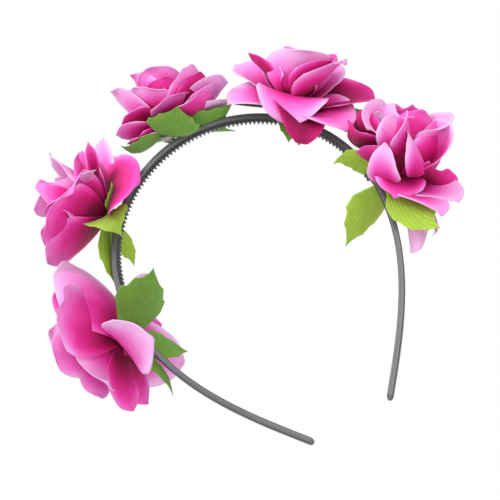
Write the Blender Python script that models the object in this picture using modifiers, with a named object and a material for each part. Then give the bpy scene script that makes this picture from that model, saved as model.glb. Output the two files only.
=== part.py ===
"""Flower crown: a sprung plastic headband with comb teeth that carries five fabric roses.

Frame: metres, +Z up as worn. The origin is on the comb tips at the middle of the crown, where
the band rests on top of the head. The band lies in the XZ plane, its width runs along Y, and
its two arms hang down at +X (right) and -X (left).

The band is one moulding on the real object. It is built in three lengths, so that the spring
of its arms can be two hinges: the pivots lie on the outer face, along Y, at +-FLEX_STATION.

Each rose is built as it is assembled: hot-melt pad, plastic hub with a peg, green calyx
threaded on the peg, three whorls of petals threaded above it, and a rolled bud on top.
"""

import math

import bmesh
import bpy
from mathutils import Matrix, Vector

MM = 0.001

# ---- driving dimensions -------------------------------------------------------------------
CROWN_RADIUS = 61.0 * MM  # of the band's middle line over the head
CROWN_HALF_LENGTH = 75.5 * MM  # along the band, from the middle to where the arc eases off
BAND_HALF_LENGTH = 198.7 * MM  # along the band, from the middle to a tip
BAND_THICKNESS = 2.8 * MM
BAND_WIDTH = 4.8 * MM
TOOTH_PITCH = 2.0 * MM
TOOTH_HEIGHT = 1.4 * MM
TOOTH_TIP = 0.3 * MM  # the flat on each tooth's point
TOOTHED_HALF_LENGTH = 97.0 * MM
ARM_STEP = 6.0 * MM  # length of the facets along a bare arm
EAR_PAD_LENGTH = 14.0 * MM  # straight end of each arm, which presses behind the ear
TIP_ANGLES = (60, 30, 0, -30, -60)  # degrees round the arm's rounded tip
LINE_STEP = 0.5 * MM  # to sum the band's line over
FLEX_STATION = 23.0 * MM  # along the band, where an arm starts to spring outwards
GAP = 0.3 * MM  # between pieces that touch

PEG_RADIUS = 1.5 * MM
PEG_HEIGHT = 8.0 * MM
HUB_RADIUS = 3.6 * MM
HUB_THICKNESS = 0.8 * MM
GLUE_RADIUS = 4.0 * MM
GLUE_HEIGHT = 1.0 * MM
SHEET_THICKNESS = 0.5 * MM  # of a whorl, stiffened cloth in several plies
LOBES = 5
STEPS_ROUND = 20  # facets round a whorl: four to a lobe
SOLID_STEPS = 14  # facets round a glue pad or a bud
HUB_STEPS = 12
WELD = 0.001 * MM

# Each rose: station along the band, lean along the band and lean to the front (degrees),
# spin about its own axis (degrees) and size against the standard rose.
ROSES = {
    "rose_1": (-105.0 * MM, 38.0, -34.0, 20.0, 1.05),
    "rose_2": (-50.0 * MM, 11.0, 12.0, 50.0, 1.05),
    "rose_3": (-7.5 * MM, 36.0, 8.0, 5.0, 1.02),
    "rose_4": (47.0 * MM, 3.0, 36.0, 35.0, 1.05),
    "rose_5": (104.0 * MM, -48.0, 5.0, 36.0, 1.05),
}

# Radius and height of each turned piece in mm, from the underside of the hub.
WHORLS = {
    "outer_petals": [(1.8, 2.6), (6.0, 3.4), (11.5, 7.4), (19.0, 12.0), (26.0, 17.5)],
    "middle_petals": [(1.8, 4.2), (7.5, 7.4), (14.0, 14.5), (19.5, 23.5)],
    "inner_petals": [(1.8, 6.0), (5.5, 8.6), (10.0, 16.5), (13.0, 28.0)],
}
WHORL_PHASE = {"outer_petals": 0.0, "middle_petals": 36.0, "inner_petals": 12.0}
NOTCH_DEPTH = 0.3  # how far the rim dips between two petals, as a share of its height
NOTCH_INSET = 0.05  # how far it draws in there, as a share of its radius
CALYX_PROFILE = [(1.8, 1.1), (4.5, 1.4), (9.0, 4.0)]
CALYX_TIP = (16.5, 7.2)
CALYX_VALLEY = (9.6, 4.4)
CALYX_PHASE = 36.0  # each sepal lies under the dip between two petals
SEPAL_TAPER = 1.5  # above 1, a sepal narrows towards its point
BUD_PROFILE = [
    (0.0, 32.5),
    (3.2, 31.5),
    (6.2, 27.5),
    (7.6, 22.0),
    (7.0, 16.0),
    (4.4, 11.2),
    (0.0, 10.0),
]

# The glue pad, as shares of its radius and of its height over the band, from the top down.
GLUE_SHAPE = [(0.0, 1.0), (0.7, 0.9), (1.0, 0.4), (0.85, 0.0), (0.0, 0.0)]
# The hub, from the top down: the peg's chamfered end as shares of its radius and height.
PEG_CHAMFER = [(0.0, 1.0), (0.8, 1.0), (1.0, 0.9)]

PLASTIC = (0.055, 0.055, 0.06)
GLUE = (0.75, 0.74, 0.68)
HUB_GREEN = (0.10, 0.28, 0.06)
CALYX_GREEN = (0.20, 0.42, 0.05)
PETAL_PINK = (0.78, 0.16, 0.50)
PETAL_DEEP = (0.62, 0.03, 0.26)


# ---- helpers ------------------------------------------------------------------------------
def clear_scene():
    for obj in list(bpy.data.objects):
        bpy.data.objects.remove(obj)


def material(name, colour, roughness):
    """A Principled material of one colour."""
    made = bpy.data.materials.new(name)
    made.use_nodes = True
    shader = made.node_tree.nodes["Principled BSDF"]
    shader.inputs["Base Color"].default_value = (*colour, 1.0)
    shader.inputs["Roughness"].default_value = roughness
    return made


def add(obj, collection, finish):
    collection.objects.link(obj)
    obj.data.materials.append(finish)
    return obj


# ---- the band's line ----------------------------------------------------------------------
def heading(station):
    """Angle that the band has turned through at a station: an arc over the head, then a
    curvature that falls evenly to nothing at the tip."""
    along = abs(station)
    turned = min(along, CROWN_HALF_LENGTH)
    eased = max(0.0, along - CROWN_HALF_LENGTH)
    turned += eased - eased**2 / (2 * (BAND_HALF_LENGTH - CROWN_HALF_LENGTH))
    return math.copysign(turned / CROWN_RADIUS, station)


def band_point(station, lift=0.0):
    """(x, z) of the band's middle line at a station, moved out by lift."""
    steps = max(2, math.ceil(abs(station) / LINE_STEP))
    ds = station / steps
    x, z = 0.0, TOOTH_HEIGHT + BAND_THICKNESS / 2
    for i in range(steps):
        angle = heading((i + 0.5) * ds)
        x += math.cos(angle) * ds
        z -= math.sin(angle) * ds
    angle = heading(station)
    return x + math.sin(angle) * lift, z + math.cos(angle) * lift


def stations(start, end, step):
    count = max(1, round(abs(end - start) / step))
    return [start + (end - start) * i / count for i in range(count + 1)]


# ---- headband -----------------------------------------------------------------------------
def toothed_edge(start, end):
    """The inner edge with its comb: a valley and a blunt point for each tooth."""
    inner = -BAND_THICKNESS / 2
    count = round(abs(end - start) / TOOTH_PITCH)
    pitch = (end - start) / count
    flat = math.copysign(TOOTH_TIP / 2, pitch)
    edge = [band_point(start, inner)]
    for i in range(count):
        middle = start + (i + 0.5) * pitch
        edge.append(band_point(middle - flat, inner - TOOTH_HEIGHT))
        edge.append(band_point(middle + flat, inner - TOOTH_HEIGHT))
        edge.append(band_point(start + (i + 1) * pitch, inner))
    return edge


def arm_outline():
    """The right arm seen from the front: out along the outer face, round the tip and back."""
    start = FLEX_STATION + GAP / 2
    half = BAND_THICKNESS / 2
    tip = BAND_HALF_LENGTH - half
    pad = tip - EAR_PAD_LENGTH
    walk = stations(start, TOOTHED_HALF_LENGTH, 2 * TOOTH_PITCH)
    walk += stations(TOOTHED_HALF_LENGTH, pad, ARM_STEP)[1:] + [tip]
    outer = [band_point(s, half) for s in walk]
    x, z = band_point(tip)
    aim = heading(tip)
    end = []
    for degrees in TIP_ANGLES:
        turn = math.radians(degrees)
        out, ahead = half * math.sin(turn), half * math.cos(turn)
        end.append(
            (
                x + math.sin(aim) * out + math.cos(aim) * ahead,
                z + math.cos(aim) * out - math.sin(aim) * ahead,
            )
        )
    bare = [s for s in walk if s > TOOTHED_HALF_LENGTH + MM]
    inner = [band_point(s, -half) for s in reversed(bare)]
    return outer + end + inner + toothed_edge(TOOTHED_HALF_LENGTH, start)


def crown_outline():
    start = FLEX_STATION - GAP / 2
    outer = [band_point(s, BAND_THICKNESS / 2) for s in stations(-start, start, 2 * TOOTH_PITCH)]
    return outer + toothed_edge(start, -start)


def band_length(name, outline, collection, finish):
    """A length of the band: its outline in XZ, as wide along Y as the band."""
    curve = bpy.data.curves.new(name, "CURVE")
    curve.dimensions = "2D"
    curve.fill_mode = "BOTH"
    curve.extrude = BAND_WIDTH / 2
    spline = curve.splines.new("POLY")
    spline.points.add(len(outline) - 1)
    for point, (x, z) in zip(spline.points, outline):
        point.co = (x, z, 0.0, 1.0)
    spline.use_cyclic_u = True
    obj = bpy.data.objects.new(name, curve)
    obj.rotation_euler = (math.pi / 2, 0.0, 0.0)
    return add(obj, collection, finish)


# ---- roses --------------------------------------------------------------------------------
def rose_frames(station, along, front, spin, size):
    """Two frames on the band's outer face: the glue's, with Z along the outward normal, and
    the rose's, leaned from it and lifted until the hub's lower edge clears the glue. Only the
    rose's is scaled, so every glue pad is the same."""
    x, z = band_point(station, BAND_THICKNESS / 2)
    seat = Matrix.Translation((x, 0.0, z)) @ Matrix.Rotation(heading(station), 4, "Y")
    lean = Matrix.Rotation(math.radians(along), 4, "Y")
    lean = lean @ Matrix.Rotation(math.radians(front), 4, "X")
    dip = HUB_RADIUS * math.hypot(lean[2][0], lean[2][1])
    lift = Matrix.Translation((0.0, 0.0, GLUE_HEIGHT + 2 * GAP + dip))
    turn = Matrix.Rotation(math.radians(spin), 4, "Z")
    return seat, seat @ lift @ lean @ turn @ Matrix.Scale(size, 4)


def turned(name, profile, steps):
    """A shape turned about Z from (radius, height) points in mm, run from the top down. It is
    closed where the first and last points lie on the axis."""
    mesh = bpy.data.meshes.new(name)
    work = bmesh.new()
    points = [work.verts.new((r * MM, 0.0, h * MM)) for r, h in profile]
    for a, b in zip(points, points[1:]):
        work.edges.new((a, b))
    bmesh.ops.spin(
        work,
        geom=work.verts[:] + work.edges[:],
        cent=(0, 0, 0),
        axis=(0, 0, 1),
        angle=2 * math.pi,
        steps=steps,
    )
    bmesh.ops.remove_doubles(work, verts=work.verts, dist=WELD)
    bmesh.ops.recalc_face_normals(work, faces=work.faces)
    work.to_mesh(mesh)
    work.free()
    return bpy.data.objects.new(name, mesh)


def lobed_sheet(name, profile, rim_shape):
    """An open sheet spun from its profile about the peg; rim_shape moves each of its points,
    given (angle, share of the way to the rim, radius, height). Solidify gives it its wall."""
    obj = turned(name, profile, STEPS_ROUND)
    rings = len(profile) - 1
    radii = [r * MM for r, _ in profile]
    for vertex in obj.data.vertices:
        radius = math.hypot(vertex.co.x, vertex.co.y)
        angle = math.atan2(vertex.co.y, vertex.co.x)
        ring = min(range(len(radii)), key=lambda i: abs(radii[i] - radius))
        radius, height = rim_shape(angle, ring / rings, radius, vertex.co.z)
        vertex.co = (radius * math.cos(angle), radius * math.sin(angle), height)
    wall = obj.modifiers.new("wall", "SOLIDIFY")
    wall.thickness = SHEET_THICKNESS
    wall.offset = 0.0
    return obj


def petal_rim(phase):
    """Petals: the rim stands full height at the middle of each lobe and dips between them."""

    def shape(angle, share, radius, height):
        dip = 0.5 - 0.5 * math.cos(LOBES * (angle - math.radians(phase)))
        dip *= share**2
        return radius * (1 - NOTCH_INSET * dip), height * (1 - NOTCH_DEPTH * dip)

    return shape


def calyx_rim(angle, share, radius, height):
    """Sepals: the sheet's edge runs out to five points and back to five valleys."""
    if share < 1:
        return radius, height
    point = 0.5 + 0.5 * math.cos(LOBES * (angle - math.radians(CALYX_PHASE)))
    tip, valley = (Vector(p) * MM for p in (CALYX_TIP, CALYX_VALLEY))
    edge = valley.lerp(tip, point**SEPAL_TAPER)
    return edge.x, edge.y


def glue_profile():
    """A low dome of hot melt, flat underneath and clear of the band by the gap."""
    return [(r * GLUE_RADIUS / MM, (GAP + h * GLUE_HEIGHT) / MM) for r, h in GLUE_SHAPE]


def hub_profile():
    """A disc with the peg standing on it."""
    disc, thick = HUB_RADIUS / MM, HUB_THICKNESS / MM
    peg = [(r * PEG_RADIUS / MM, h * PEG_HEIGHT / MM) for r, h in PEG_CHAMFER]
    return peg + [(peg[-1][0], thick), (disc, thick), (disc, 0.0), (0.0, 0.0)]


def build_rose(name, frames, collection, finishes):
    seat, place = frames
    pieces = {
        "glue": turned(f"{name}_glue", glue_profile(), SOLID_STEPS),
        "hub": turned(f"{name}_hub", hub_profile(), HUB_STEPS),
        "calyx": lobed_sheet(f"{name}_calyx", CALYX_PROFILE, calyx_rim),
        "bud": turned(f"{name}_bud", BUD_PROFILE, SOLID_STEPS),
    }
    for whorl, profile in WHORLS.items():
        pieces[whorl] = lobed_sheet(f"{name}_{whorl}", profile, petal_rim(WHORL_PHASE[whorl]))
    for kind, obj in pieces.items():
        obj.matrix_world = seat if kind == "glue" else place
        add(obj, collection, finishes[kind])
        obj.data.shade_smooth()


def main():
    clear_scene()
    crown = bpy.data.collections.new("flower_crown")
    bpy.context.scene.collection.children.link(crown)
    plastic = material("black_plastic", PLASTIC, 0.35)
    band_length("headband_crown", crown_outline(), crown, plastic)
    band_length("headband_right_arm", arm_outline(), crown, plastic)
    mirrored = [(-x, z) for x, z in reversed(arm_outline())]
    band_length("headband_left_arm", mirrored, crown, plastic)
    finishes = {
        "glue": material("hot_melt", GLUE, 0.4),
        "hub": material("hub_plastic", HUB_GREEN, 0.5),
        "calyx": material("calyx_cloth", CALYX_GREEN, 0.7),
        "outer_petals": material("petal_cloth", PETAL_PINK, 0.75),
        "bud": material("bud_cloth", PETAL_DEEP, 0.75),
    }
    finishes["middle_petals"] = finishes["outer_petals"]
    finishes["inner_petals"] = finishes["outer_petals"]
    for name, seat in ROSES.items():
        build_rose(name, rose_frames(*seat), crown, finishes)


main()
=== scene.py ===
# %% [markdown]
# # A flower crown
# A sprung black headband with comb teeth carries five cloth roses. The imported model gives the
# place of every hub, bud and length of band; this script makes the surfaces that are seen.
# Everything is in metres: +Z is up as worn, the band lies in XZ, and -Y is the front.

import math

import bpy
import numpy as np
from mathutils import Matrix, Vector


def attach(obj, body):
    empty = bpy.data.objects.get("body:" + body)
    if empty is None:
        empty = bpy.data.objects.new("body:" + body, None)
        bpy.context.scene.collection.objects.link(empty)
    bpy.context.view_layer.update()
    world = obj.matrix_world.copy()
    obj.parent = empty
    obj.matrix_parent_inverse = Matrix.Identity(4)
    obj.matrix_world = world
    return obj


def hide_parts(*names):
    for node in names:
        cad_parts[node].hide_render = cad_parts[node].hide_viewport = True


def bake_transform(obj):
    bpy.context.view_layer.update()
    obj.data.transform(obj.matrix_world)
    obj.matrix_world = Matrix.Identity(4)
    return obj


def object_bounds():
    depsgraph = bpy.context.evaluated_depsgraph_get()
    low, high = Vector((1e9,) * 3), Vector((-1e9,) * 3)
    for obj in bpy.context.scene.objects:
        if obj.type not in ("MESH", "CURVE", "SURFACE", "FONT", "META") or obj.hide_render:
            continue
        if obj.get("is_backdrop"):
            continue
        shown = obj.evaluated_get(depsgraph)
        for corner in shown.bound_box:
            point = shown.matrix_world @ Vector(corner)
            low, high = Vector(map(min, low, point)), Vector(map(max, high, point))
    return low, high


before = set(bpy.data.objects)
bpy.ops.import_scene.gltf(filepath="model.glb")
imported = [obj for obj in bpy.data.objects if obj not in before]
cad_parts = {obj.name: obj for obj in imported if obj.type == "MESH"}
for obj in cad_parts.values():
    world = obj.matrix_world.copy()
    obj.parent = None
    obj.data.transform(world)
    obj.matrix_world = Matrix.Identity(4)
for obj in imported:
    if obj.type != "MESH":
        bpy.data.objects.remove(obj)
cad_box = [list(corner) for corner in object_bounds()]
MM = 0.001

# %% [markdown]
# ## The band's line
# The band is a flat strip bent in one plane. Over the head it is an arc, and past that its
# curvature falls evenly to nothing at the tip, as a moulded spring strip's does. Everything on
# the band is placed by its station, the distance along the band's middle line from the crown.

# %% Stations along the band
CROWN_RADIUS = 61.0 * MM
CROWN_HALF_LENGTH = 75.5 * MM
BAND_HALF_LENGTH = 198.7 * MM
BAND_THICKNESS = 2.8 * MM
BAND_WIDTH = 4.8 * MM
TOOTH_PITCH = 2.0 * MM
TOOTH_HEIGHT = 1.4 * MM
TOOTHED_HALF_LENGTH = 97.0 * MM


def heading(station):
    """Angle turned at a station: length over radius, less the part that the easing takes."""
    along = np.abs(station)
    eased = np.maximum(0.0, along - CROWN_HALF_LENGTH)
    fall = eased**2 / (2 * (BAND_HALF_LENGTH - CROWN_HALF_LENGTH))
    return np.sign(station) * (along - fall) / CROWN_RADIUS


LINE_STEP = 0.1 * MM
line_s = np.arange(0.0, BAND_HALF_LENGTH + LINE_STEP, LINE_STEP)
line_turn = heading(line_s[:-1] + LINE_STEP / 2)
line_x = np.concatenate([[0.0], np.cumsum(np.cos(line_turn) * LINE_STEP)])
line_z = np.concatenate([[0.0], -np.cumsum(np.sin(line_turn) * LINE_STEP)])
line_z += TOOTH_HEIGHT + BAND_THICKNESS / 2


def band_point(station, lift=0.0):
    """(x, z) of the middle line, the sum of short steps along the heading, moved out by lift."""
    station = np.asarray(station, float)
    x = np.sign(station) * np.interp(np.abs(station), line_s, line_x)
    z = np.interp(np.abs(station), line_s, line_z)
    turn = heading(station)
    return x + np.sin(turn) * lift, z + np.cos(turn) * lift


tip_x, tip_z = band_point(BAND_HALF_LENGTH)
print(f"arm tips {2000 * tip_x:.1f} mm apart, {-1000 * tip_z:.1f} mm below the crown")

# %% [markdown]
# ## Camera, light and floor
# The crown is seen from the front and a little below, turned in the picture plane, through a
# long lens. A bright even surround lights it the way a light tent does, and soft lamps give the
# petals their shading. The floor is far enough down to stay out of a view from below.

# %% Camera
TARGET = Vector((0.0, 0.0, -0.0722))
DISTANCE = 0.70
VIEW_FROM = Vector((-0.034, -0.939, -0.342)).normalized()
ROLL = math.radians(29.8)
LENS_MM = 115.9
SHIFT = (-0.0324, 0.0436)

eye = TARGET + VIEW_FROM * DISTANCE
camera_data = bpy.data.cameras.new("camera")
camera_data.lens = LENS_MM
camera_data.sensor_width = 36.0
camera_data.shift_x, camera_data.shift_y = SHIFT
camera_data.clip_start, camera_data.clip_end = 0.05, 20.0
camera = bpy.data.objects.new("camera", camera_data)
bpy.context.scene.collection.objects.link(camera)
aim = VIEW_FROM.to_track_quat("Z", "Y").to_matrix().to_4x4()
camera.matrix_world = Matrix.Translation(eye) @ aim @ Matrix.Rotation(-ROLL, 4, "Z")
bpy.context.scene.camera = camera
bpy.context.scene.view_settings.view_transform = "Standard"
print("camera", [round(c, 3) for c in eye])

# %% [markdown]
# ## A small language for shaders
# A material is maths on sockets. One class wraps a socket, so that the usual signs add Math
# nodes, and one method makes any other node from its type, its settings and its inputs.


# %% Shader helpers
class Socket:
    """An output socket of a node tree that can be added, multiplied and so on."""

    def __init__(self, tree, output):
        self.tree, self.output = tree, output

    def _math(self, operation, a, b=0.0, clamp=False):
        return shader_node(
            self.tree, "ShaderNodeMath", {"operation": operation, "use_clamp": clamp}, {0: a, 1: b}
        )

    def __add__(self, other):
        return self._math("ADD", self, other)

    def __sub__(self, other):
        return self._math("SUBTRACT", self, other)

    def __rsub__(self, other):
        return self._math("SUBTRACT", other, self)

    def __mul__(self, other):
        return self._math("MULTIPLY", self, other)

    def __pow__(self, other):
        return self._math("POWER", self, other)

    __radd__ = __add__
    __rmul__ = __mul__

    def clamped(self):
        return self._math("ADD", self, 0.0, clamp=True)

    def wave(self, pitch):
        """Cosine of the socket's value with the given pitch, from -1 to 1."""
        return self._math("COSINE", self * (2 * math.pi / pitch))


def shader_node(tree, kind, settings, inputs, output=0):
    """Adds a node: its settings first (a ramp's stops among them), then its sockets."""
    node = tree.nodes.new(kind)
    for name, value in settings.items():
        if name == "stops":
            ramp = node.color_ramp
            while len(ramp.elements) < len(value):
                ramp.elements.new(1.0)
            for element, (place, colour) in zip(ramp.elements, value):
                element.position = place
                element.color = (*colour, 1.0)
        else:
            setattr(node, name, value)
    for key, value in inputs.items():
        if isinstance(value, Socket):
            tree.links.new(value.output, node.inputs[key])
        else:
            node.inputs[key].default_value = value
    return Socket(tree, node.outputs[output])


def new_material(name, **fixed):
    """A material with one Principled shader and its constant values; returns it and its tree."""
    material = bpy.data.materials.new(name)
    material.use_nodes = True
    shader = material.node_tree.nodes["Principled BSDF"]
    for key, value in fixed.items():
        shader.inputs[key.replace("_", " ")].default_value = value
    return material, material.node_tree, shader


def feed(tree, shader, **links):
    for key, value in links.items():
        tree.links.new(value.output, shader.inputs[key.replace("_", " ")])


def noise(tree, scale, detail=3.0, rough=0.5, vector=None):
    """Fractal noise of about 0 to 1 on object coordinates, unless a vector is given."""
    if vector is None:
        vector = shader_node(tree, "ShaderNodeTexCoord", {}, {}, "Object")
    inputs = {"Vector": vector, "Scale": scale, "Detail": detail, "Roughness": rough}
    return shader_node(tree, "ShaderNodeTexNoise", {}, inputs, 0)


def bump(tree, height, distance, strength=1.0):
    inputs = {"Height": height, "Distance": distance, "Strength": strength}
    return shader_node(tree, "ShaderNodeBump", {}, inputs)


# %% World, lamps and floor
TENT_GLOW = 0.76  # of the surround as a lamp; the eye sees it as plain white
world = bpy.data.worlds.new("light_tent")
world.use_nodes = True
surround = world.node_tree.nodes["Background"]
surround.inputs["Color"].default_value = (1.0, 1.0, 1.0, 1.0)
seen = shader_node(world.node_tree, "ShaderNodeLightPath", {}, {}, "Is Camera Ray")
glow = TENT_GLOW + seen * (1.0 - TENT_GLOW)
world.node_tree.links.new(glow.output, surround.inputs["Strength"])
bpy.context.scene.world = world


def lamp(name, place, size, power):
    """A square soft lamp that faces the middle of the crown."""
    data = bpy.data.lights.new(name, "AREA")
    data.size, data.energy = size, power
    made = bpy.data.objects.new(name, data)
    bpy.context.scene.collection.objects.link(made)
    made.location = place
    made.rotation_euler = (made.location - TARGET).to_track_quat("Z", "Y").to_euler()
    return made


lamp("key_lamp", (-0.45, -0.60, 0.75), 0.4, 9.0)
lamp("fill_lamp", (0.35, -0.95, 0.0), 0.7, 3.5)

FLOOR_DROP = 0.6
floor_mesh = bpy.data.meshes.new("floor")
HALF_FLOOR = 3.0
corners = [(x, y, -FLOOR_DROP) for x, y in ((-1, -1), (1, -1), (1, 1), (-1, 1))]
corners = [(x * HALF_FLOOR, y * HALF_FLOOR, z) for x, y, z in corners]
floor_mesh.from_pydata(corners, [], [(0, 1, 2, 3)])
floor = bpy.data.objects.new("floor", floor_mesh)
bpy.context.scene.collection.objects.link(floor)
floor_finish, _, _ = new_material("pale_floor", Base_Color=(0.9, 0.9, 0.9, 1.0), Roughness=0.8)
floor_mesh.materials.append(floor_finish)
floor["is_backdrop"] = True
print("lit by the surround and 2 lamps")

# %% [markdown]
# ## Finishes
# The band is black moulded plastic: a satin skin, with a grey sheen painted into the colour of
# its flat front and back faces. The petals are satin cut from dyed cloth: crimson where they are
# threaded on the peg, hot pink in the middle, and faded to lilac at the rim; the darkest crimson
# at the peg is painted shade deep in the flower. The leaves are a stiffer cloth with pressed veins.
# Each petal carries its own measures as attributes: run (0 at the peg, 1 at the rim), side
# (-1 to 1 across) and tone (how far its colour is shifted: partly its dye, partly painted shade
# and painted light on single petals), and its flat cut is its UV map.


# %% Plastic
def plastic_finish():
    """Satin black plastic: the flat front and back faces carry a painted grey sheen, and fine
    moulding grain.
    """
    material, tree, shader = new_material("satin_black_plastic", Specular_IOR_Level=0.7)
    flank = shader_node(tree, "ShaderNodeAttribute", {"attribute_name": "flank"}, {}, 2)
    haze = noise(tree, 60.0, 4.0)
    grain = noise(tree, 2600.0, 2.0)
    # painted sheen: the flat faces run from near black to grey in the colour, with random haze
    colour = shader_node(
        tree,
        "ShaderNodeValToRGB",
        {"stops": [(0.0, (0.018, 0.018, 0.020)), (1.0, (0.125, 0.127, 0.138))]},
        {"Fac": (flank * 0.85 + (haze - 0.5) * 0.35).clamped()},
    )
    feed(
        tree,
        shader,
        Base_Color=colour,
        Roughness=0.26 + haze * 0.16,
        Normal=bump(tree, grain, 0.00004, 0.5),
    )
    return material


# %% Cloth
WEAVE_PITCH = 0.22 * MM
UV_SPAN = 0.1  # metres of flat cloth to one unit of the UV map

# dye ramp from peg to rim; its first, darkest stop is painted shade deep in the flower
PETAL_STOPS = [
    (0.00, (0.20, 0.001, 0.040)),
    (0.25, (0.50, 0.004, 0.140)),
    (0.45, (0.74, 0.028, 0.310)),
    (0.62, (0.82, 0.130, 0.520)),
    (0.80, (0.85, 0.310, 0.700)),
    (1.00, (0.86, 0.490, 0.800)),
]


def weave_height(tree, pitch):
    """Warp and weft: two cosines of the flat cut's coordinates, multiplied."""
    flat = shader_node(tree, "ShaderNodeUVMap", {"uv_map": "flat_cut"}, {})
    x = shader_node(tree, "ShaderNodeSeparateXYZ", {}, {0: flat}, 0)
    y = shader_node(tree, "ShaderNodeSeparateXYZ", {}, {0: flat}, 1)
    return x.wave(pitch / UV_SPAN) * y.wave(pitch / UV_SPAN), flat


def attribute(tree, name):
    return shader_node(tree, "ShaderNodeAttribute", {"attribute_name": name}, {}, 2)


def petal_finish():
    """Dyed satin: the colour runs from crimson at the peg, whose darkest part is painted shade, to
    lilac at the rim, in soft patches.
    """
    material, tree, shader = new_material(
        "dyed_satin", Sheen_Weight=0.06, Sheen_Roughness=0.4, Specular_IOR_Level=0.22
    )
    run, side, tone = (attribute(tree, name) for name in ("run", "side", "tone"))
    weave, flat = weave_height(tree, WEAVE_PITCH)
    patches = noise(tree, 9.0, 3.0, 0.55, vector=flat)
    edge = side * side * side * side
    # run: dye from crimson to lilac, with painted shade at the peg; tone: partly dye, partly
    # painted shade and painted light
    dye_and_shade = (run * 0.92 + edge * 0.32 + tone - 0.02 + (patches - 0.5) * 0.30).clamped()
    colour = shader_node(tree, "ShaderNodeValToRGB", {"stops": PETAL_STOPS}, {"Fac": dye_and_shade})
    feed(
        tree,
        shader,
        Base_Color=colour,
        Roughness=0.52 + patches * 0.16,
        Normal=bump(tree, weave, 0.00002, 0.6),
    )
    return material


def leaf_finish(name, dark, light):
    """Stiff cloth, darker along the veins' furrows, lighter at the cut edge."""
    material, tree, shader = new_material(name, Sheen_Weight=0.12, Specular_IOR_Level=0.3)
    side, run, furrow = (attribute(tree, name) for name in ("side", "run", "furrow"))
    weave, flat = weave_height(tree, 0.35 * MM)
    patches = noise(tree, 14.0, 4.0, 0.6, vector=flat)
    shade = (0.5 + (patches - 0.5) * 0.8 + furrow * 0.10 + side * side * 0.15).clamped()
    colour = shader_node(
        tree, "ShaderNodeValToRGB", {"stops": [(0.1, dark), (0.9, light)]}, {"Fac": shade}
    )
    feed(
        tree,
        shader,
        Base_Color=colour,
        Roughness=0.62 + run * 0.1,
        Normal=bump(tree, weave, 0.00003, 0.7),
    )
    return material


def glue_finish():
    """Hot melt: milky, glossy, a little see-through."""
    material, tree, shader = new_material("clear_hot_melt", Transmission_Weight=0.35, IOR=1.48)
    cloud = noise(tree, 300.0, 3.0)
    colour = shader_node(
        tree,
        "ShaderNodeValToRGB",
        {"stops": [(0.3, (0.70, 0.68, 0.60)), (0.7, (0.85, 0.84, 0.78))]},
        {"Fac": cloud},
    )
    feed(tree, shader, Base_Color=colour, Roughness=0.15 + cloud * 0.15)
    return material


def hub_finish():
    material, tree, shader = new_material("green_hub_plastic")
    haze = noise(tree, 400.0, 3.0)
    colour = shader_node(
        tree,
        "ShaderNodeValToRGB",
        {"stops": [(0.3, (0.05, 0.16, 0.03)), (0.7, (0.09, 0.24, 0.05))]},
        {"Fac": haze},
    )
    feed(tree, shader, Base_Color=colour, Roughness=0.4 + haze * 0.2)
    return material


black_plastic = plastic_finish()
dyed_satin = petal_finish()
mid_green = leaf_finish("mid_green_cloth", (0.075, 0.20, 0.016), (0.21, 0.43, 0.050))
lime_green = leaf_finish("lime_green_cloth", (0.20, 0.36, 0.015), (0.45, 0.64, 0.070))
hot_melt = glue_finish()
hub_plastic = hub_finish()
print("finishes made:", len(bpy.data.materials))

# %% [markdown]
# ## Surfaces from grids
# Every new piece is one or more grids of points, worked out as whole arrays. A grid becomes
# quads; a closed direction wraps round. A sheet of cloth gets its thickness from Solidify, which
# also closes its edge, so that each petal is a thin closed shell.


# %% Grids into meshes
def grid_faces(rows, columns, first, closed):
    """Quads between neighbouring points of a grid, numbered from first."""
    index = first + np.arange(rows * columns).reshape(rows, columns)
    if closed:
        index = np.concatenate([index, index[:, :1]], axis=1)
    quads = [index[:-1, :-1], index[:-1, 1:], index[1:, 1:], index[1:, :-1]]
    return np.stack(quads, axis=-1).reshape(-1, 4)


def grids_object(name, grids, finish, closed=False, thickness=0.0):
    """One object from grids of {points, and attributes of the same rows and columns}."""
    faces, first = [], 0
    for grid in grids:
        rows, columns = grid["points"].shape[:2]
        faces.append(grid_faces(rows, columns, first, closed))
        first += rows * columns
    points = np.concatenate([grid["points"].reshape(-1, 3) for grid in grids])
    faces = np.concatenate(faces)
    mesh = bpy.data.meshes.new(name)
    mesh.vertices.add(len(points))
    mesh.vertices.foreach_set("co", points.astype(np.float32).ravel())
    mesh.loops.add(faces.size)
    mesh.loops.foreach_set("vertex_index", faces.ravel().astype(np.int32))
    mesh.polygons.add(len(faces))
    mesh.polygons.foreach_set("loop_start", np.arange(0, faces.size, 4, dtype=np.int32))
    mesh.update(calc_edges=True)
    for key in grids[0]:
        if key in ("points", "flat"):
            continue
        layer = mesh.attributes.new(key, "FLOAT", "POINT")
        values = np.concatenate([grid[key].ravel() for grid in grids])
        layer.data.foreach_set("value", values.astype(np.float32))
    if "flat" in grids[0]:
        flat = np.concatenate([grid["flat"].reshape(-1, 2) for grid in grids]) / UV_SPAN
        layer = mesh.uv_layers.new(name="flat_cut")
        layer.data.foreach_set("uv", flat[faces.ravel()].astype(np.float32).ravel())
    mesh.shade_smooth()
    mesh.materials.append(finish)
    made = bpy.data.objects.new(name, mesh)
    bpy.context.scene.collection.objects.link(made)
    if thickness:
        wall = made.modifiers.new("cloth", "SOLIDIFY")
        wall.thickness = thickness
        wall.offset = 0.0
    return made


# %% [markdown]
# ## Headband
# The real band is one moulding. Its section is a flat strip with eased corners, carried along
# the band's line; over the head the inner face rises into teeth, each a ridge across the strip.
# It is made as two halves that meet under the middle rose.

# %% Headband halves
SECTION_POINTS = 32
CORNER_POWER = 5.0  # of the superellipse that rounds the strip's corners
TIP_EASE = 2.2 * MM  # length over which a tip is rounded off
TOOTH_INSET = 0.35 * MM  # the teeth stop this far inside the strip's faces


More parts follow.
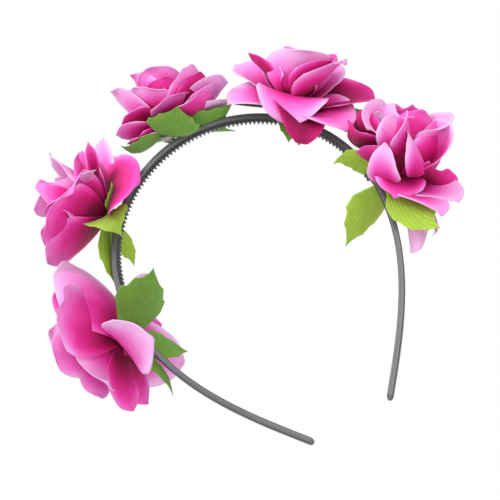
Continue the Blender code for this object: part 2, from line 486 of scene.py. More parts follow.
def tooth_height(station):
    """Ridges: a triangle wave of the station, steepened and cut off flat in the valleys."""
    phase = np.abs(station) / TOOTH_PITCH % 1.0
    ridge = np.clip(1.35 * (1 - np.abs(2 * phase - 1)) - 0.25, 0, 1)
    ends = np.clip((TOOTHED_HALF_LENGTH - np.abs(station)) / TOOTH_PITCH, 0, 1)
    return TOOTH_HEIGHT * ridge * ends


def band_half(name, side):
    """Section carried along the line: x = cos^p, y = sin^p of a superellipse, with the inner
    points pushed in by the tooth height, and the last stations drawn in to a round tip."""
    tip = np.linspace(0, math.pi / 2, 12)
    toothed = np.arange(0.0, TOOTHED_HALF_LENGTH, TOOTH_PITCH / 10)
    bare = np.arange(TOOTHED_HALF_LENGTH, BAND_HALF_LENGTH - TIP_EASE, 1.5 * MM)
    ends = BAND_HALF_LENGTH - TIP_EASE * (1 - np.sin(tip))
    stations = side * np.concatenate([toothed, bare, ends])
    shrink = np.ones(len(stations))
    shrink[-len(tip):] = np.maximum(np.cos(tip), 0.02)
    around = np.linspace(0, 2 * math.pi, SECTION_POINTS, endpoint=False) + 0.01
    power = 2 / CORNER_POWER
    lift = np.sign(np.sin(around)) * np.abs(np.sin(around)) ** power * BAND_THICKNESS / 2
    width = np.sign(np.cos(around)) * np.abs(np.cos(around)) ** power * BAND_WIDTH / 2
    rise = np.clip((BAND_WIDTH / 2 - TOOTH_INSET - np.abs(width)) / (0.4 * MM), 0, 1)
    inner = (np.sin(around) < 0) * rise
    lifts = shrink[:, None] * lift[None, :] - tooth_height(stations)[:, None] * inner[None, :]
    x, z = band_point(stations[:, None] + 0 * lifts, lifts)
    y = shrink[:, None] * width[None, :]
    points = np.stack([x, y + 0 * x, z], axis=-1)
    # painted sheen: 1 on the flat front and back faces, whose colour the plastic lightens to grey
    flank = np.clip((np.abs(width) - BAND_WIDTH / 2 + 0.25 * MM) / (0.2 * MM), 0, 1)
    flank = flank * np.clip((0.85 - np.abs(np.sin(around))) / 0.2, 0, 1)
    grid = {"points": points, "flank": flank[None, :] + 0 * x}
    return grids_object(name, [grid], black_plastic, closed=True)


def cap_ends(made):
    """Closes the first and last rings of a closed-section grid, and faces everything out."""
    import bmesh

    work = bmesh.new()
    work.from_mesh(made.data)
    rim = [edge for edge in work.edges if edge.is_boundary]
    bmesh.ops.holes_fill(work, edges=rim, sides=0)
    bmesh.ops.recalc_face_normals(work, faces=work.faces)
    work.to_mesh(made.data)
    work.free()


FLEX_FROM, FLEX_TO = 9.0 * MM, 37.0 * MM
for arm, side in (("left_arm", -1), ("right_arm", 1)):
    half = band_half(f"headband_{arm[:-4]}_half", side)
    cap_ends(half)
    start, end = (band_point(side * s) for s in (FLEX_FROM, FLEX_TO))
    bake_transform(half)
    replaced = [f"headband_{arm}"] + (["headband_crown"] if side > 0 else [])
    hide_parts(*replaced)
    print(half.name, len(half.data.polygons), "faces")

# %% [markdown]
# ## Where each rose stands
# A rose's hub and bud are turned about one line, so the middles of those two nodes give its
# axis. Round the axis, azimuth 0 is to the front and 90 to the right, which is how the petals
# below are placed.


# %% Rose frames
def node_points(name):
    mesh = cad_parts[name].data
    points = np.zeros(len(mesh.vertices) * 3, np.float32)
    mesh.vertices.foreach_get("co", points)
    return np.unique(points.reshape(-1, 3).astype(float).round(6), axis=0)


BUD_TOP = 32.5 * MM  # of the standard rose, above the hub's underside


def rose_frame(rose):
    """Origin on the hub's underside, axis to the bud, front and right axes, and size."""
    hub, bud = node_points(f"{rose}_hub"), node_points(f"{rose}_bud")
    axis = bud.mean(0) - hub.mean(0)
    axis /= np.linalg.norm(axis)
    low = ((hub - hub.mean(0)) @ axis).min()
    origin = hub.mean(0) + axis * low
    size = ((bud - origin) @ axis).max() / BUD_TOP
    front = np.array([0.0, -1.0, 0.0]) + axis * axis[1]
    front /= np.linalg.norm(front)
    return {
        "origin": origin,
        "axis": axis,
        "front": front,
        "right": np.cross(axis, front),
        "size": size,
    }


def place(seat, front, right, up):
    """Rose coordinates, in metres of the standard rose, to the model's."""
    return (
        seat["origin"]
        + seat["size"]
        * (
            front[..., None] * seat["front"]
            + right[..., None] * seat["right"]
            + up[..., None] * seat["axis"]
        )
    )


# %% [markdown]
# ## Petals
# A petal starts as a flat cut: a narrow neck, sides that swell, a rounded end. Its edges are
# then rolled back over a line, the way a heated ball tool curls them, and last the sheet is
# bent: lengthwise along a line whose slope changes from neck to rim, and across round a wide
# cylinder, so that it cups the flower. Each step keeps lengths, so the cloth isn't stretched.


# %% One petal
def rolled(x, y, h, angle, start, radius):
    """Rolls back what lies past a line: a distance d past it becomes an arc of the radius."""
    dx, dy = math.sin(math.radians(angle)), math.cos(math.radians(angle))
    past = np.maximum(0.0, x * dx + y * dy - start)
    turn = np.minimum(past / radius, math.pi * 0.85)
    ahead = (radius + h) * np.sin(turn) - past + (past - turn * radius)
    drop = (radius + h) * np.cos(turn) - radius
    moved = past > 0
    return (
        np.where(moved, x + ahead * dx, x),
        np.where(moved, y + ahead * dy, y),
        np.where(moved, drop, h),
    )


def bent_line(along, length, slopes):
    """Middle line of a petal: slopes in degrees at neck, middle and rim, blended as a
    quadratic, then summed into (reach, height) for any distance along."""
    t = np.linspace(-0.2, 1.3, 301)
    c = np.clip(t, 0, 1)
    a, b, d = (math.radians(s) for s in slopes)
    slope = (1 - c) ** 2 * a + 2 * c * (1 - c) * b + c**2 * d
    step = (t[1] - t[0]) * length
    reach = np.concatenate([[0], np.cumsum(np.cos((slope[1:] + slope[:-1]) / 2) * step)])
    height = np.concatenate([[0], np.cumsum(np.sin((slope[1:] + slope[:-1]) / 2) * step)])
    reach -= np.interp(0, t, reach)
    height -= np.interp(0, t, height)
    share = along / length
    return tuple(np.interp(share, t, values) for values in (reach, height, slope))


def flat_area(x, y):
    """Area of a flat grid: half the cross product of each cell's diagonals."""
    ax, ay = x[1:, 1:] - x[:-1, :-1], y[1:, 1:] - y[:-1, :-1]
    bx, by = x[1:, :-1] - x[:-1, 1:], y[1:, :-1] - y[:-1, 1:]
    return float(np.abs(ax * by - ay * bx).sum() / 2)


def bent_sheet(seat, flat, h, azimuth, root, length, shape):
    """Bends a flat cut (x across, y along) out from the axis at an azimuth. Across it wraps
    round a cylinder (sine, and one less cosine, of x over the radius), skew lifts one edge over
    its neighbour and twist turns it about its middle line. Along it follows bent_line."""
    x, y = flat
    reach, height, slope = bent_line(y, length, shape["slopes"])
    wrap = shape["wrap"] * MM
    across = wrap * np.sin(x / wrap)
    inward = wrap * (1 - np.cos(x / wrap)) + h + shape["skew"] * x
    turn = math.radians(shape["twist"]) * np.clip(y / length, 0, 1.2)
    across, inward = (
        across * np.cos(turn) - inward * np.sin(turn),
        across * np.sin(turn) + inward * np.cos(turn),
    )
    across = across + shape["bend"] * MM * (y / length) ** 2
    out = root[0] + reach - np.sin(slope) * inward
    up = root[1] + height + np.cos(slope) * inward
    a = math.radians(azimuth)
    front = out * math.cos(a) - across * math.sin(a)
    right = out * math.sin(a) + across * math.cos(a)
    return place(seat, front, right, up)


PETAL = {
    "length": 28.0,
    "width": 27.0,
    "slopes": (10, 45, 50),
    "wrap": 20.0,
    "skew": 0.12,
    "twist": 0.0,
    "bend": 0.0,
    "tone": 0.0,
    "neck": 0.28,
    "shoulder": 0.40,
    "beak": 1.5,
    "ripple": 0.5,
    "rolls": ((0, 0.92, 2.6), (50, 0.74, 3.0), (-50, 0.74, 3.0)),
    "phase": 0.0,
}


def petal(seat, azimuth, root, shape):
    """Flat cut: half width times u times a swelling sine; length times v times a rounded
    end, one less a power of |u|, with a small beak. Then rolled, rippled and bent."""
    s = {**PETAL, **shape}
    v = np.linspace(0, 1, 33)[:, None]
    u = np.linspace(-1, 1, 29)[None, :]
    length, width = s["length"] * MM, s["width"] * MM
    swell = s["neck"] + (1 - s["neck"]) * np.sin(math.pi / 2 * np.minimum(v / 0.75, 1)) ** 1.1
    end = 1 - s["shoulder"] * np.abs(u) ** 2.6
    x = u * width / 2 * swell + 0 * v
    y = v * length * end + s["beak"] * MM * v**4 * np.exp(-((u / 0.16) ** 2))
    flat = np.stack([x, y], axis=-1)
    area = flat_area(x, y)
    h = s["ripple"] * MM * v**2 * np.sin(3.1 * u + s["phase"]) * (0.4 + np.abs(u)) + 0 * u
    for angle, start, radius in s["rolls"]:
        x, y, h = rolled(x, y, h, angle, start * length, radius * MM)
    points = bent_sheet(seat, (x, y), h, azimuth, root, length, s)
    grid = {
        "points": points,
        "flat": flat,
        "run": v + 0 * u,
        "side": u + 0 * v,
        "tone": s["tone"] + 0 * u * v,
    }
    return grid, area * seat["size"] ** 2


CLOTH = 0.28 * MM
LEAST_FILLED = 0.31  # share of a layer's square that its cloth has to fill
OVERLAP_ROOM = 1.01  # side over the root of the area, where petals overlap laid flat
DRAW_IN = 0.98  # one step of drawing a calyx's square in round thin leaves


def whorl(name, seat, layer):
    """A die-cut layer: its petals, each an azimuth and what differs from the layer's base.
    A square for it is worked out, widened past the cut where the petals would overlap laid flat,
    and not used."""
    made, longest = [], 0.0
    for number, (azimuth, change) in enumerate(layer["petals"]):
        shape = {"phase": 1.7 * number, **layer["base"], **change}
        root = [value * MM for value in shape.get("root", layer["root"])]
        made.append(petal(seat, azimuth, root, shape))
        longest = max(longest, {**PETAL, **shape}["length"] * MM)
    piece = grids_object(name, [grid for grid, _ in made], dyed_satin, thickness=CLOTH)
    area = sum(a for _, a in made)
    side = max(2 * (layer["root"][0] * MM + longest) * seat["size"], OVERLAP_ROOM * math.sqrt(area))
    side = min(side, math.sqrt(area / LEAST_FILLED))
    print(f"{name}: {len(made)} petals, {area * 1e4:.1f} cm2")
    return piece


# %% [markdown]
# ## Bud
# The heart of a cloth rose is a strip rolled round the peg. Its turns open towards the end of
# the strip, it is narrow at the foot and full at the middle, and its free edge is curled.


# %% Rolled bud
def rolled_strip(name, seat, turns, radii, heights, tone):
    """Strip wound on the axis: radius grows evenly with the angle and swells at mid height as
    a sine; the top edge waves and flares."""
    v = np.linspace(0, 1, 25)[:, None]
    t = np.linspace(0, 1, int(60 * turns))[None, :]
    angle = t * turns * 2 * math.pi
    radius = radii[0] + (radii[1] - radii[0]) * t
    belly = 0.45 + 0.55 * np.sin(math.pi * (0.12 + 0.62 * v))
    flare = 0.22 * np.clip((v - 0.82) / 0.18, 0, 1) ** 2 * (0.4 + 0.6 * np.sin(2.3 * angle) ** 2)
    out = radius * (belly + flare) * MM
    wave = 1 + 0.05 * np.sin(1.6 * angle + 0.6)
    up = (heights[0] + (heights[1] - heights[0]) * v * wave - 2.0 * t * v) * MM
    points = place(seat, out * np.cos(angle), out * np.sin(angle), up + 0 * angle)
    length = (2 * math.pi * turns * (radii[0] + radii[1]) / 2) * MM
    tall = (heights[1] - heights[0]) * MM
    flat = np.stack([t * length + 0 * v, v * tall + 0 * t], axis=-1)
    grid = {
        "points": points,
        "flat": flat,
        "run": 0.15 + 0.85 * v**1.5 + 0 * t,
        "side": 0 * v * t,
        "tone": tone + 0 * v * t,
    }
    piece = grids_object(name, [grid], dyed_satin, thickness=CLOTH)
    return piece, (length * seat["size"], tall * seat["size"])


# %% [markdown]
# ## Leaves
# Under each rose the calyx is a star of five leaves cut from one piece of stiff green cloth.
# A leaf swells from a narrow foot and ends in notched teeth and a point. The veins are pressed
# in with a hot mould, as furrows that really stand in the cloth.

# %% One leaf
LEAF_OUTLINE_RUN = (0.0, 0.12, 0.42, 0.60, 0.64, 0.80, 0.84, 1.0)
LEAF_OUTLINE_HALF = (0.40, 0.52, 1.00, 0.96, 0.78, 0.62, 0.42, 0.02)
LEAF_ROOT = (1.6, 1.2)
LEAF = {
    "length": 25.0,
    "width": 17.0,
    "slopes": (10, 35, 20),
    "wrap": 26.0,
    "skew": 0.0,
    "twist": 0.0,
    "bend": 0.0,
    "ribs": 0.02,
    "rib_pitch": 1.7,
    "rolls": (),
}


def leaf(seat, azimuth, root, shape):
    """Flat cut: the outline's half width times u. Furrows: a cosine across the leaf, faded at
    the foot and edge, with a crease down the middle."""
    s = {**LEAF, **shape}
    v = np.linspace(0, 1, 61)[:, None]
    u = np.linspace(-1, 1, 37)[None, :]
    length, width = s["length"] * MM, s["width"] * MM
    half = np.interp(v, LEAF_OUTLINE_RUN, LEAF_OUTLINE_HALF) * width / 2
    x, y = u * half, v * length * (1 - 0.05 * u**2)
    flat = np.stack([x, y], axis=-1)
    area = flat_area(x, y)
    lines = np.cos(2 * math.pi * (np.abs(x) - 0.10 * y) / (s["rib_pitch"] * MM))
    fade = np.clip(v / 0.2, 0, 1) * np.clip((1 - np.abs(u)) / 0.15, 0, 1)
    furrow = lines * fade
    h = s["ribs"] * MM * furrow + 0.25 * MM * np.abs(u) * (1 - v)
    for angle, start, radius in s["rolls"]:
        x, y, h = rolled(x, y, h, angle, start * length, radius * MM)
    points = bent_sheet(seat, (x, y), h, azimuth, root, length, s)
    grid = {
        "points": points,
        "flat": flat,
        "run": v + 0 * u,
        "side": u + 0 * v,
        "furrow": furrow + 0 * u * v,
    }
    return grid, area * seat["size"] ** 2


def calyx(name, seat, leaves, base, finish):
    """A die-cut calyx: its leaves, each an azimuth and what differs from the base. Its
    declared square is drawn in until they fill enough of it, so it can be under the cut. A
    square for it is drawn in until they fill enough of it, and not used."""
    made = []
    for azimuth, change in leaves:
        root = [value * MM for value in change.get("root", LEAF_ROOT)]
        made.append(leaf(seat, azimuth, root, {**base, **change}))
    piece = grids_object(name, [grid for grid, _ in made], finish, thickness=CLOTH)
    area = sum(a for _, a in made)
    longest = max({**LEAF, **base, **change}["length"] for _, change in leaves) * MM
    side = 2 * (LEAF_ROOT[0] * MM + longest) * seat["size"]
    while area < LEAST_FILLED * side * side:
        side *= DRAW_IN
    print(f"{name}: {len(leaves)} leaves, {area * 1e4:.1f} cm2")
    return piece


# %% [markdown]
# ## The five roses
# The roses come from one set of dies, but no two are curled and glued alike. So each layer has
# a base shape, and each rose says how its own petals differ: azimuth, length, slopes, and a tone
# that is partly dye, partly painted shade and painted light on single petals.

# %% Layer shapes
OUTER = {"length": 30.0, "width": 30.0, "slopes": (5, 25, 0), "wrap": 24.0}
SECOND = {"length": 28.0, "width": 28.0, "slopes": (20, 62, 45), "wrap": 17.0, "tone": 0.02}
CUP = {"length": 28.0, "width": 26.0, "slopes": (30, 88, 80), "wrap": 11.0, "tone": 0.03}
HEART = {"length": 24.0, "width": 18.0, "slopes": (45, 95, 80), "wrap": 7.0, "rolls": ()}
TIP_ONLY = ((0, 0.94, 2.4),)  # a petal whose sides were left flat
OUTER_ROOT, SECOND_ROOT, CUP_ROOT, HEART_ROOT = (1.8, 2.6), (1.8, 4.2), (1.8, 6.0), (1.6, 8.0)


# tone shifts a petal's colour along the ramp: partly its dye, and on some petals painted shade that
# darkens them and painted light that lightens them
def lobe(azimuth, length, width, slopes, tone=0.0, **more):
    """One petal or leaf of a layer: its azimuth, and how it differs from the layer's base."""
    return azimuth, {"length": length, "width": width, "slopes": slopes, "tone": tone, **more}


def layer(name, root, base, petals, *replaces):
    return {"name": name, "root": root, "base": base, "petals": petals, "replaces": replaces}


ROSES = {}

# %% Rose 1
ROSES["rose_1"] = {
    "body": "left_arm",
    "finish": mid_green,
    "bud_top": 26.0,
    "whorls": [
        layer("outer_whorl", OUTER_ROOT, OUTER, [
            lobe(53, 40, 34, (10, 30, 50), 0.05),
            lobe(14, 33, 34, (20, 10, -10), -0.12),
            lobe(317, 37, 26, (-31, -79, -82), 0.1, wrap=56, skew=0.37, bend=4.5, twist=-17,
                 shoulder=0.33, root=(1.4, 2.1), rolls=TIP_ONLY),
            lobe(183, 33, 30, (10, 0, -10), 0.05),
            lobe(110, 31, 18, (5, 0, 0), 0.1),
        ], "outer_petals"),
        layer("second_whorl", SECOND_ROOT, SECOND, [
            lobe(252, 28, 16, (5, -5, 0), -0.25),
            lobe(234, 27, 16, (5, -5, 0), -0.25),
            lobe(290, 22, 26, (30, 10, -50), 0.1),
            lobe(332, 28, 26, (30, 40, 20), -0.1),
            lobe(152, 28, 24, (20, 10, 10), -0.25),
        ], "middle_petals"),
        layer("cup", CUP_ROOT, CUP, [
            lobe(53, 34, 26, (30, 60, 40), -0.3),
            lobe(278, 24, 22, (30, 20, -10), -0.1),
            lobe(5, 28, 26, (40, 70, 60), 0.05),
            lobe(120, 28, 26, (35, 75, 60), 0.0),
            lobe(200, 28, 26, (35, 75, 60), 0.0),
        ], "inner_petals"),
        layer("heart", HEART_ROOT, HEART, [
            lobe(20, 22, 20, (45, 95, 80)),
            lobe(140, 22, 20, (45, 95, 80)),
            lobe(260, 22, 20, (45, 95, 80)),
        ]),
    ],
    "leaves": [
        lobe(90, 33, 27, (-42, -56, -45), bend=-11.0),
        lobe(180, 28, 16, (-30, -40, 10), skew=-0.3, twist=-30),
        lobe(233, 31, 7, (-34, -70, 20), twist=-14),
        lobe(315, 9, 10, (20, 60, 60), root=(1.8, 5.0)),
        lobe(45, 9, 10, (20, 60, 60), root=(1.8, 5.0)),
    ],
}

# %% Rose 2
ROSES["rose_2"] = {
    "body": "left_arm",
    "finish": lime_green,
    "bud_top": 25.0,
    "whorls": [
        layer("outer_whorl", OUTER_ROOT, OUTER, [
            lobe(44, 22, 31, (20, -30, -60), -0.32, skew=0.5, twist=-10, root=(3.4, 3.2),
                 wrap=60, rolls=TIP_ONLY),
            lobe(104, 35, 14, (30, 34, 36), 0.05, skew=0.6, rolls=TIP_ONLY),
            lobe(116, 30, 15, (20, 24, 24), 0.08, skew=0.4, rolls=TIP_ONLY),
            lobe(268, 30, 30, (17, 25, 45), -0.15, twist=20, root=(2.5, 2.4), wrap=30),
            lobe(310, 30, 32, (25, 48, 40), -0.25),
            lobe(180, 30, 32, (10, 30, 20), 0.0),
        ], "outer_petals"),
        layer("second_whorl", SECOND_ROOT, SECOND, [
            lobe(290, 24, 29, (29, 0, 90), -0.15, skew=-0.26, twist=40, root=(3.7, 7.4), wrap=20),
            lobe(112, 31, 13, (40, 52, 52), -0.2, skew=0.5, rolls=TIP_ONLY),
            lobe(352, 25, 28, (50, 80, -30), -0.15, skew=-0.3, root=(2.0, 5.0)),
            lobe(60, 26, 22, (45, 60, 50), -0.25),
            lobe(200, 30, 30, (30, 60, 45), 0.0),
        ], "middle_petals"),
        layer("cup", CUP_ROOT, CUP, [
            lobe(356, 17, 22, (50, 69, 25), -0.15, skew=0.64, bend=-8.0, twist=40,
                 root=(4.3, 9.8), wrap=14),
            lobe(85, 32, 34, (45, 82, 92), 0.12, wrap=20),
            lobe(12, 25, 29, (45, 60, 120), -0.12, skew=0.18, bend=-4.0, twist=40,
                 root=(1.8, 9.3), wrap=14),
            lobe(300, 27, 28, (40, 85, 70), 0.0),
            lobe(170, 26, 28, (40, 80, 70), 0.0),
        ], "inner_petals"),
        layer("heart", HEART_ROOT, HEART, [
            lobe(30, 16, 8, (47, 27, -43), 0.2, skew=-0.35, twist=-26, root=(6.5, 10.3), wrap=8),
            lobe(60, 16, 8, (32, 40, 34), -0.25, skew=-0.22, twist=-19, root=(10.9, 11.6), wrap=12),
            lobe(20, 20, 20, (45, 95, 80)),
            lobe(140, 20, 20, (45, 95, 80)),
            lobe(260, 20, 20, (45, 95, 80)),
        ]),
    ],
    "leaves": [
        lobe(349, 20, 19, (20, -37, -102), skew=-0.46, bend=-6.0, twist=-38, root=(2.6, 0.3)),
        lobe(274, 31, 10, (-20, -45, -39), skew=0.57, bend=-2.4, twist=28),
        lobe(231, 24, 10, (-43, -80, -20), skew=0.33, bend=-1.5, twist=16),
        lobe(120, 26, 18, (5, 20, 10)),
        lobe(50, 14, 14, (5, 20, 30)),
    ],
}

# %% Rose 3
ROSES["rose_3"] = {
    "body": "crown",
    "finish": mid_green,
    "bud_top": 25.0,
    "whorls": [
        layer("outer_whorl", OUTER_ROOT, OUTER, [
            lobe(290, 20, 15, (-13, 1, -7), -0.15, skew=0.29, bend=2.7, root=(3.0, 2.4), wrap=40),
            lobe(291, 17, 13, (-30, -35, 0), 0.1, skew=-0.2, twist=20, wrap=16),
            lobe(286, 17, 18, (-35, -40, 0), -0.5),
            lobe(88, 31, 22, (25, 25, 20), 0.2),
            lobe(82, 30, 26, (35, 30, 60), 0.05, skew=0.32, twist=-20),
            lobe(180, 30, 32, (10, 25, 0), 0.0),
        ], "outer_petals"),
        layer("second_whorl", SECOND_ROOT, SECOND, [
            lobe(293, 27, 13, (25, 52, 41), 0.1, skew=0.31, bend=-3.8, root=(3.0, 4.0), wrap=40),
            # painted shade: this petal's tone darkens it where shade falls
            lobe(288, 17, 18, (11, 6, -21), -0.35, skew=0.31, bend=2.9, root=(3.5, 5.0)),
            lobe(304, 20, 26, (33, 32, 65), 0.0, skew=0.22, bend=2.3, root=(1.9, 6.0)),
            lobe(35, 19, 27, (28, 22, 35), -0.12, skew=0.51, bend=-5.0, root=(2.6, 5.0), wrap=18),
            lobe(64, 24, 30, (9, 0, 80), -0.25, skew=0.5, bend=-2.7, twist=-20, root=(4.0, 5.0)),
            lobe(77, 30, 16, (25, 59, 10), 0.12, skew=-0.23, bend=-3.5, root=(4.0, 7.0)),
            lobe(235, 29, 30, (25, 60, 45), 0.1),
            lobe(5, 22, 28, (35, 80, 80), -0.35),
        ], "middle_petals"),
        layer("cup", CUP_ROOT, CUP, [
            lobe(182, 29, 39, (60, 60, 90), 0.08, root=(1.8, 5.0), wrap=18),
            lobe(65, 26, 30, (37, 20, 130), -0.05, skew=0.5, twist=-30, root=(2.0, 9.0), wrap=14),
            lobe(68, 25, 26, (30, 10, 120), -0.5, skew=0.5, twist=-35, root=(3.0, 8.0), wrap=12),
            lobe(290, 26, 24, (35, 70, 70), -0.1),
            lobe(338, 25, 30, (48, 80, 60), -0.1, skew=0.3),
            lobe(130, 27, 30, (40, 74, 60), 0.05),
            lobe(235, 27, 30, (40, 80, 65), 0.1),
        ], "inner_petals"),
        layer("heart", HEART_ROOT, HEART, [
            lobe(20, 18, 20, (45, 95, 80), -0.2),
            lobe(140, 20, 20, (45, 95, 80), -0.2),
            lobe(260, 18, 20, (45, 95, 80), -0.2),
        ]),
    ],
    "leaves": [
        lobe(22, 23, 24, (-22, 40, 50), skew=-0.10, root=(2.8, -0.5)),
        lobe(85, 32, 15, (16, 1, 53), skew=-0.29, bend=-2.5),
        lobe(286, 22, 16, (-33, -56, 34), skew=0.19, bend=2.8),
        lobe(107, 29, 14, (15, 5, -5)),
        lobe(210, 24, 17, (5, 10, 0)),
    ],
}

# %% Rose 4
SOFT_SIDES = ((60, 0.60, 3.2), (-60, 0.60, 3.2))
ROSES["rose_4"] = {
    "body": "right_arm",
    "finish": mid_green,
    "bud_top": 22.0,
    "whorls": [
        layer("outer_whorl", OUTER_ROOT, OUTER, [
            lobe(30, 28, 26, (25, -15, -75), -0.6, beak=7.0, shoulder=0.65, rolls=TIP_ONLY,
                 wrap=30, skew=0.0),
            lobe(62, 31, 24, (12, 10, -20), -0.1, skew=0.3, rolls=TIP_ONLY),
            lobe(96, 34, 24, (20, 26, 12), -0.45, skew=0.3),
            lobe(300, 28, 20, (12, 2, -25), 0.05, wrap=50, skew=-0.2),
            lobe(200, 30, 32, (10, 20, 0), 0.0),
        ], "outer_petals"),
        layer("second_whorl", SECOND_ROOT, SECOND, [
            lobe(8, 24, 31, (62, -22, -88), 0.0, beak=5.0, shoulder=0.5, rolls=TIP_ONLY,
                 wrap=60, skew=0.0),
            lobe(70, 30, 28, (45, 60, 50), -0.1),
            lobe(277, 25, 16, (35, 42, 36), -0.5, twist=40, rolls=SOFT_SIDES),
            lobe(255, 30, 24, (16, 18, 5), 0.0, skew=-0.3, rolls=SOFT_SIDES),
            lobe(150, 26, 30, (25, 55, 40), 0.0),
        ], "middle_petals"),
        layer("cup", CUP_ROOT, CUP, [
            # painted light: this front cup's tone lightens it, though facing the front it gets less
            # light
            lobe(16, 24, 40, (42, 95, 80), 0.12, wrap=14.5, rolls=TIP_ONLY),
            lobe(72, 25, 30, (40, 80, 50), -0.35, rolls=TIP_ONLY),
            lobe(150, 20, 30, (35, 90, 75), -0.05),
            lobe(235, 21, 30, (35, 90, 75), -0.05),
        ], "inner_petals"),
        layer("heart", HEART_ROOT, HEART, [
            lobe(20, 13, 20, (45, 95, 80), -0.2),
            lobe(140, 13, 20, (45, 95, 80), -0.2),
            lobe(260, 13, 20, (45, 95, 80), -0.2),
        ]),
    ],
    "leaves": [
        lobe(298, 30, 15, (-4, -5, 4)),
        lobe(18, 19, 13, (-10, -40, -60)),
        lobe(75, 29, 12, (5, -6, -10)),
        lobe(110, 34, 12, (0, 10, 15)),
        lobe(200, 25, 16, (5, 10, 0)),
    ],
}

# %% Rose 5
ROSES["rose_5"] = {
    "body": "right_arm",
    "finish": lime_green,
    "bud_top": 31.0,
    "whorls": [
        layer("outer_whorl", OUTER_ROOT, OUTER, [
            lobe(318, 17, 22, (16, 9, 36), -0.35, skew=-0.50, twist=52, root=(4.8, 3.6), wrap=40),
            lobe(345, 21, 14, (-15, 44, 90), 0.05, skew=0.16, shoulder=0.6, root=(5.5, -0.4),
                 wrap=30),
            lobe(67, 24, 17, (-7, -6, -39), 0.0, skew=0.59, twist=10, shoulder=0.7,
                 root=(4.3, -0.3), wrap=50),
            lobe(85, 23, 13, (2, 30, -36), 0.1, skew=0.89, twist=28, shoulder=0.7,
                 root=(6.3, 2.5), wrap=50),
            lobe(136, 32, 22, (-15, -65, -75), 0.2, shoulder=0.6),
            lobe(108, 27, 15, (-5, -40, -60), 0.0),
            lobe(20, 13, 22, (-40, -75, -70), -0.25, root=(4.5, 6.0), wrap=20),
        ], "outer_petals"),
        layer("second_whorl", SECOND_ROOT, SECOND, [
            lobe(298, 28, 26, (46, -57, 157), -0.5, skew=-0.39, bend=1.5, twist=37,
                 root=(5.0, 11.0)),
            lobe(291, 24, 22, (32, -66, 106), -0.5, skew=0.11, bend=3.0, twist=-9,
                 root=(6.4, 10.5)),
            lobe(70, 23, 21, (21, 76, 161), 0.0, skew=0.61, bend=-5.2, twist=70, root=(8.5, 9.4)),
            lobe(76, 16, 22, (7, -36, 113), -0.4, skew=0.27, bend=2.4, twist=-59, root=(7.9, 5.9)),
            lobe(38, 18, 18, (20, 101, 136), 0.12, skew=0.41, bend=-7.9, twist=11,
                 root=(13.0, 3.7)),
            lobe(20, 34, 30, (-5, 95, 112), -0.3, wrap=15),
            lobe(75, 35, 32, (-5, 95, 115), -0.25, wrap=15),
            lobe(130, 34, 32, (0, 95, 110), -0.1, wrap=15),
            lobe(195, 33, 32, (10, 95, 105), 0.0, wrap=15),
            lobe(260, 33, 28, (15, 95, 105), -0.3, wrap=15),
            lobe(320, 33, 28, (10, 95, 110), -0.3, wrap=15),
        ], "middle_petals"),
        layer("cup", CUP_ROOT, CUP, [
            lobe(344, 17, 12, (27, 58, 100), 0.12, skew=0.29, bend=-1.4, twist=36,
                 root=(10.0, 10.5), wrap=14),
            lobe(23, 20, 24, (34, 50, 118), -0.1, skew=0.40, bend=-7.7, twist=60,
                 root=(7.4, 9.6), wrap=14),
            lobe(318, 14, 17, (25, -10, 71), 0.1, twist=47, root=(7.4, 18.6), wrap=16),
            lobe(315, 17, 15, (31, 43, -71), 0.05, skew=-0.84, bend=1.8, twist=-39,
                 root=(8.3, 17.3)),
            lobe(315, 25, 30, (60, -56, 153), 0.05, skew=-0.14, bend=2.1, twist=34,
                 root=(1.0, 14.2), wrap=14),
            lobe(103, 27, 34, (50, 70, 90), 0.08, skew=-0.05, bend=-7.7, twist=50,
                 root=(1.0, 10.4), wrap=14),
        ], "inner_petals"),
        layer("heart", HEART_ROOT, HEART, [
            lobe(356, 18, 20, (60, 60, 60), -0.3, twist=43, root=(1.6, 16.6), wrap=6),
            lobe(140, 26, 20, (50, 95, 95)),
            lobe(260, 26, 20, (50, 95, 95)),
        ]),
    ],
    "leaves": [
        lobe(292, 29, 12, (17, 29, -65), skew=0.34, bend=7.1, twist=34, root=(2.3, 1.4), ribs=0.08),
        lobe(55, 29, 20, (-39, -59, 3), skew=0.49, bend=6.9, twist=52, ribs=0.10),
        lobe(235, 33, 20, (-40, -70, -75), ribs=0.10),
        lobe(130, 20, 17, (0, -10, -20)),
        lobe(190, 25, 17, (5, 10, 0)),
    ],
}

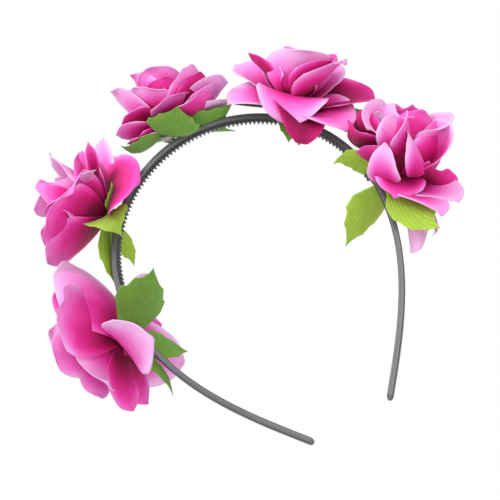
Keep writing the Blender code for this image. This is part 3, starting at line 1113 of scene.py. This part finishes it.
# %% Build the roses
def finish_piece(piece, body, slot, *nodes):
    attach(piece, body)
    if nodes:
        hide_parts(*nodes)


def glue_blob(name, seat):
    """A squeezed blob: a dome whose radius wavers with the azimuth."""
    a = np.linspace(0, 2 * math.pi, 40, endpoint=False)[None, :]
    v = np.linspace(0, 1, 14)[:, None]
    radius = 3.3 * (1 + 0.10 * np.sin(3 * a + 1) + 0.06 * np.sin(5 * a))
    out = radius * np.sin(math.pi * np.clip(v, 0.01, 0.99)) ** 0.6 * MM
    up = (0.4 - 3.2 * v + 0.3 * np.sin(2 * a) * v) * MM + 0 * a
    points = place(seat, out * np.cos(a), out * np.sin(a), up)
    piece = grids_object(name, [{"points": points}], hot_melt, closed=True)
    cap_ends(piece)
    return piece


BUD_TURNS = 2.2
BUD_RADII = (1.2, 5.6)  # mm, where the strip starts and ends
BUD_FOOT = 10.0  # mm above the hub's underside
BUD_TONE = -0.05

for rose, plan in ROSES.items():
    seat = rose_frame(rose)
    body = plan["body"]
    for made_layer in plan["whorls"]:
        piece = whorl(f"{rose}_{made_layer['name']}", seat, made_layer)
        finish_piece(piece, body, "petal_cloth", *[f"{rose}_{n}" for n in made_layer["replaces"]])
    rise = (BUD_FOOT, plan["bud_top"])
    piece, cut = rolled_strip(f"{rose}_rolled_bud", seat, BUD_TURNS, BUD_RADII, rise, BUD_TONE)
    finish_piece(piece, body, "bud_cloth", f"{rose}_bud")
    piece = calyx(f"{rose}_leaves", seat, plan["leaves"], plan.get("leaf_base", {}), plan["finish"])
    finish_piece(piece, body, "calyx_cloth", f"{rose}_calyx")
    piece = glue_blob(f"{rose}_glue_blob", seat)
    finish_piece(piece, body, "hot_melt", f"{rose}_glue")
    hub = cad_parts[f"{rose}_hub"]
    hub.data.materials.clear()
    hub.data.materials.append(hub_plastic)

# %% [markdown]
# ## Finish
# How far the model's box grows past the frame's box is printed.

# %% Print how far the box grows
visual_box = [list(corner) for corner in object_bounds()]
grows = [round(1000 * (v - c), 1) for a, b in zip(cad_box, visual_box) for c, v in zip(a, b)]
print("box grows by", grows, "mm")
